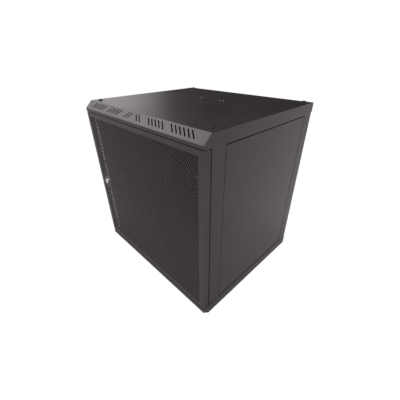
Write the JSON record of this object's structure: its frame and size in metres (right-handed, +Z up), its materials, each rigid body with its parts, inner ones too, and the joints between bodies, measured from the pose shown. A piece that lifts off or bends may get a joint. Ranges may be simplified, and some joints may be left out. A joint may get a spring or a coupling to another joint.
{
  "type": "wall-mount network cabinet",
  "caption": "Wall-mount network cabinet with a locking perforated door, lift-off side panels, sliding mounting rails and cable entries.",
  "frame": {"origin": "centre of the footprint on the floor", "axes": "+Z up, the door faces -Y, +X towards the door's hinges"},
  "size_m": [0.6, 0.5312, 0.6216],
  "materials": {
    "powder_coat": "satin, fine orange peel",
    "mesh_coat": "satin",
    "zinc_steel": "satin",
    "yellow_zinc": "satin",
    "chrome": "polished",
    "black_screw": "satin",
    "black_plastic": "matte",
    "black_rubber": "matte"
  },
  "bodies": {
    "cabinet": {"side_frame_left": "powder_coat", "side_frame_right": "powder_coat", "roof_cover": "powder_coat", "base_tray": "powder_coat", "rear_panel": "powder_coat", "roof_stiffener": "powder_coat", "roof_screws": "zinc_steel", "roof_bolts": "zinc_steel", "roof_plugs": "black_plastic", "base_entry_cover": "powder_coat", "base_entry_screws": "zinc_steel", "rear_entry_cover": "powder_coat", "rear_entry_screws": "black_screw", "rear_entry_trim": "black_rubber", "rear_panel_screws": "black_screw", "depth_rail_left_top": "powder_coat", "depth_rail_left_bottom": "powder_coat", "depth_rail_right_top": "powder_coat", "depth_rail_right_bottom": "powder_coat", "depth_rail_screws": "zinc_steel", "earth_stud": "yellow_zinc", "earth_nuts": "zinc_steel", "hinge_bush_top": "black_plastic", "hinge_bush_bottom": "black_plastic", "door_buffers": "black_rubber"},
    "door": {"door_stile_left": "powder_coat", "door_stile_right": "powder_coat", "door_rail_top": "powder_coat", "door_rail_bottom": "powder_coat", "door_mesh": "mesh_coat", "lock_plate": "powder_coat", "hinge_bracket_top": "powder_coat", "hinge_bracket_bottom": "powder_coat", "hinge_screws": "powder_coat", "hinge_pin_bottom": "black_screw", "lock_barrel": "chrome", "lock_nut": "yellow_zinc"},
    "door_lock": {"lock_plug": "chrome", "lock_cam": "yellow_zinc", "cam_screw": "zinc_steel"},
    "hinge_release_pin": {"hinge_pin_top": "zinc_steel", "hinge_spring": "zinc_steel"},
    "lift_off_panel_left": {"side_panel_left": "powder_coat", "panel_hooks_left": "zinc_steel"},
    "lift_off_panel_right": {"side_panel_right": "powder_coat", "panel_hooks_right": "zinc_steel"},
    "front_rail_left": {"rail_front_left": "powder_coat", "rail_bolts_front_left": "zinc_steel", "cage_nuts_left": "zinc_steel"},
    "front_rail_right": {"rail_front_right": "powder_coat", "rail_bolts_front_right": "zinc_steel", "cage_nuts_right": "zinc_steel"},
    "rear_rail_left": {"rail_rear_left": "powder_coat", "rail_bolts_rear_left": "zinc_steel"},
    "rear_rail_right": {"rail_rear_right": "powder_coat", "rail_bolts_rear_right": "zinc_steel"}
  },
  "joints": [
    {"name": "door_hinge", "type": "hinge", "parent": "cabinet", "child": "door", "pos_m": [0.2895, -0.257, 0.313], "axis": [0, 0, 1], "range_deg": [0, 180]},
    {"name": "lock_turn", "type": "hinge", "parent": "door", "child": "door_lock", "pos_m": [-0.255, -0.25, 0.313], "axis": [0, -1, 0], "range_deg": [0, 90]},
    {"name": "hinge_pin_slide", "type": "slide", "parent": "door", "child": "hinge_release_pin", "axis": [0, 0, -1], "range_m": [0, 0.009], "stiffness_N_per_m": 600, "springref_m": -0.004, "deforming": ["hinge_spring"]},
    {"name": "side_panel_left_lift", "type": "slide", "parent": "cabinet", "child": "lift_off_panel_left", "axis": [0, 0, 1], "range_m": [0, 0.0022]},
    {"name": "side_panel_right_lift", "type": "slide", "parent": "cabinet", "child": "lift_off_panel_right", "axis": [0, 0, 1], "range_m": [0, 0.0022]},
    {"name": "front_rail_left_slide", "type": "slide", "parent": "cabinet", "child": "front_rail_left", "axis": [0, 1, 0], "range_m": [0, 0.1]},
    {"name": "rear_rail_left_slide", "type": "slide", "parent": "cabinet", "child": "rear_rail_left", "axis": [0, -1, 0], "range_m": [0, 0.1]},
    {"name": "front_rail_right_slide", "type": "slide", "parent": "cabinet", "child": "front_rail_right", "axis": [0, 1, 0], "range_m": [0, 0.1]},
    {"name": "rear_rail_right_slide", "type": "slide", "parent": "cabinet", "child": "rear_rail_right", "axis": [0, -1, 0], "range_m": [0, 0.1]}
  ]
}
